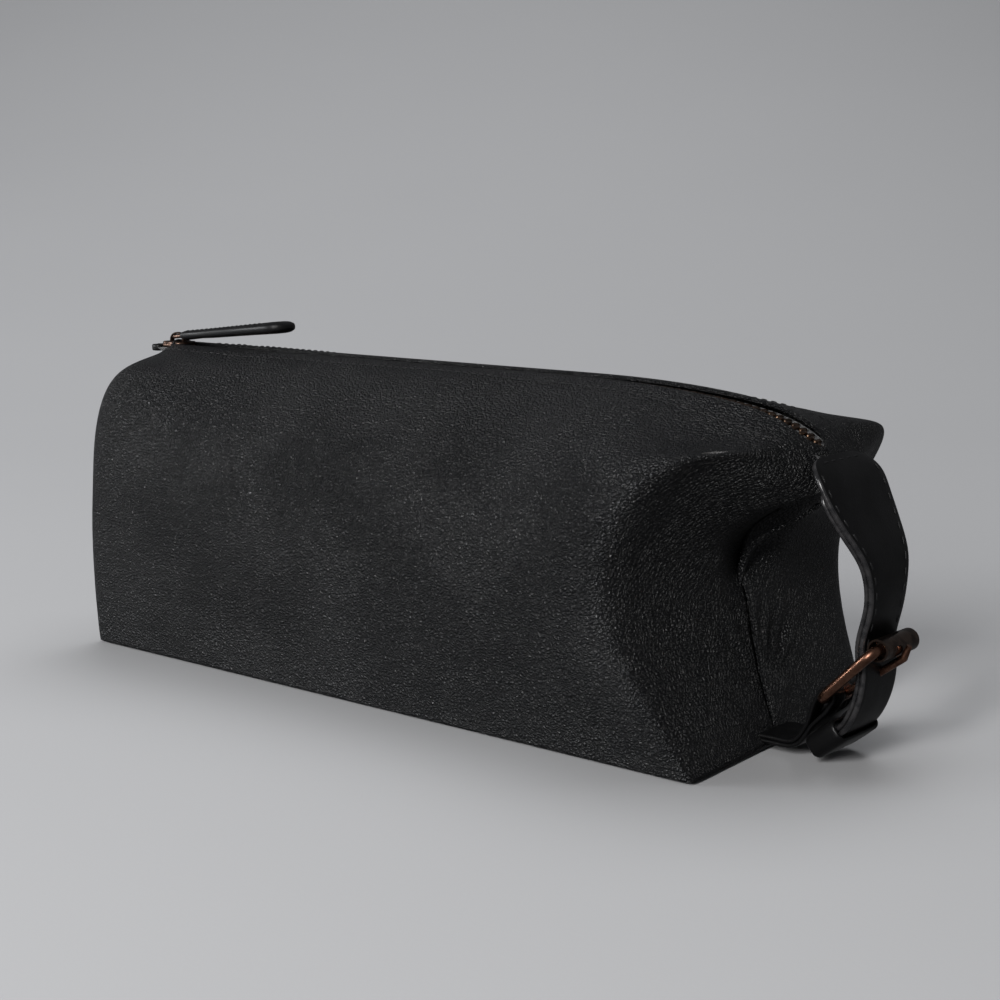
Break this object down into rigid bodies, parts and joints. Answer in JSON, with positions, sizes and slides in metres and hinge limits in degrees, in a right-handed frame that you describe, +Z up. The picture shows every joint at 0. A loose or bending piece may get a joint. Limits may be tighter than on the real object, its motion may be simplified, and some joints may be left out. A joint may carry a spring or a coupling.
{
  "type": "shaving kit bag",
  "caption": "Boxy leather wash bag with a metal zip along the top, a leather pull and a buckled strap handle at one end.",
  "frame": {"origin": "centre of the base on the surface the bag stands on", "axes": "+X along the bag towards the strap handle, +Z up out of the base, the front wall faces -Y"},
  "size_m": [0.3448, 0.1173, 0.1254],
  "materials": {
    "hide": "soft full-grain leather with a pebbled grain and a low sheen",
    "strap_leather": "smooth firm leather with painted, burnished edges",
    "lining_cloth": "plain woven cotton lining",
    "stiffener": "pressed fibre board",
    "zip_tape": "herringbone woven polyester tape",
    "zip_metal": "antique brass, dark in the recesses",
    "buckle_metal": "brushed antique copper-brass",
    "roller_metal": "darker antique bronze with bright worn rims"
  },
  "bodies": {
    "bag": {"back_end_fold_left": "hide", "back_end_fold_right": "hide", "back_lining": "lining_cloth", "back_tape_left": "zip_tape", "back_tape_right": "zip_tape", "back_teeth_left": "zip_metal", "back_teeth_right": "zip_metal", "back_wall": "hide", "back_wing_left": "hide", "back_wing_right": "hide", "base_board": "stiffener", "base_lining": "lining_cloth", "base_panel": "hide", "buckle_tab": "strap_leather", "end_cap_left": "hide", "end_cap_right": "hide", "end_seam_left": "hide", "end_seam_right": "hide", "front_end_fold_left": "hide", "front_end_fold_right": "hide", "front_lining": "lining_cloth", "front_tape_left": "zip_tape", "front_tape_right": "zip_tape", "front_teeth_left": "zip_metal", "front_teeth_right": "zip_metal", "front_wall": "hide", "front_wing_left": "hide", "front_wing_right": "hide", "handle_strap": "strap_leather", "handle_strap_backing": "strap_leather", "keeper_loop": "strap_leather", "zip_end_tab": "strap_leather"},
    "front_lip": {"front_lip": "hide", "front_lip_lining": "lining_cloth", "front_tape_mouth": "zip_tape", "front_teeth_mouth": "zip_metal"},
    "back_lip": {"back_lip": "hide", "back_lip_lining": "lining_cloth", "back_tape_mouth": "zip_tape", "back_teeth_mouth": "zip_metal"},
    "zip_slider": {"zip_slider": "zip_metal"},
    "zip_pull": {"zip_pull_link": "zip_metal", "zip_pull_tab": "strap_leather"},
    "buckle_frame": {"buckle_frame": "buckle_metal"},
    "buckle_roller": {"buckle_roller": "roller_metal"},
    "buckle_prong": {"buckle_prong": "buckle_metal"}
  },
  "joints": [
    {"name": "front_lip_fold", "type": "hinge", "parent": "bag", "child": "front_lip", "pos_m": [0, -0.0537, 0.0755], "axis": [1, 0, 0], "range_deg": [0, 30]},
    {"name": "back_lip_fold", "type": "hinge", "parent": "bag", "child": "back_lip", "pos_m": [0, 0.0537, 0.0755], "axis": [-1, 0, 0], "range_deg": [0, 30]},
    {"name": "zip_slide", "type": "slide", "parent": "bag", "child": "zip_slider", "axis": [1, 0, 0], "range_m": [0, 0.217]},
    {"name": "pull_swing", "type": "hinge", "parent": "zip_slider", "child": "zip_pull", "pos_m": [-0.157, 0, 0.1164], "axis": [0, -1, 0], "range_deg": [0, 150]},
    {"name": "frame_tilt", "type": "hinge", "parent": "bag", "child": "buckle_frame", "pos_m": [0.154, 0, 0.021], "axis": [0, 1, 0], "range_deg": [0, 4]},
    {"name": "roller_spin", "type": "hinge", "parent": "buckle_frame", "child": "buckle_roller", "pos_m": [0.1716, 0, 0.0388], "axis": [0, 1, 0], "continuous": true},
    {"name": "prong_lift", "type": "hinge", "parent": "buckle_frame", "child": "buckle_prong", "pos_m": [0.154, 0, 0.021], "axis": [0, 1, 0], "range_deg": [0, 4]}
  ]
}
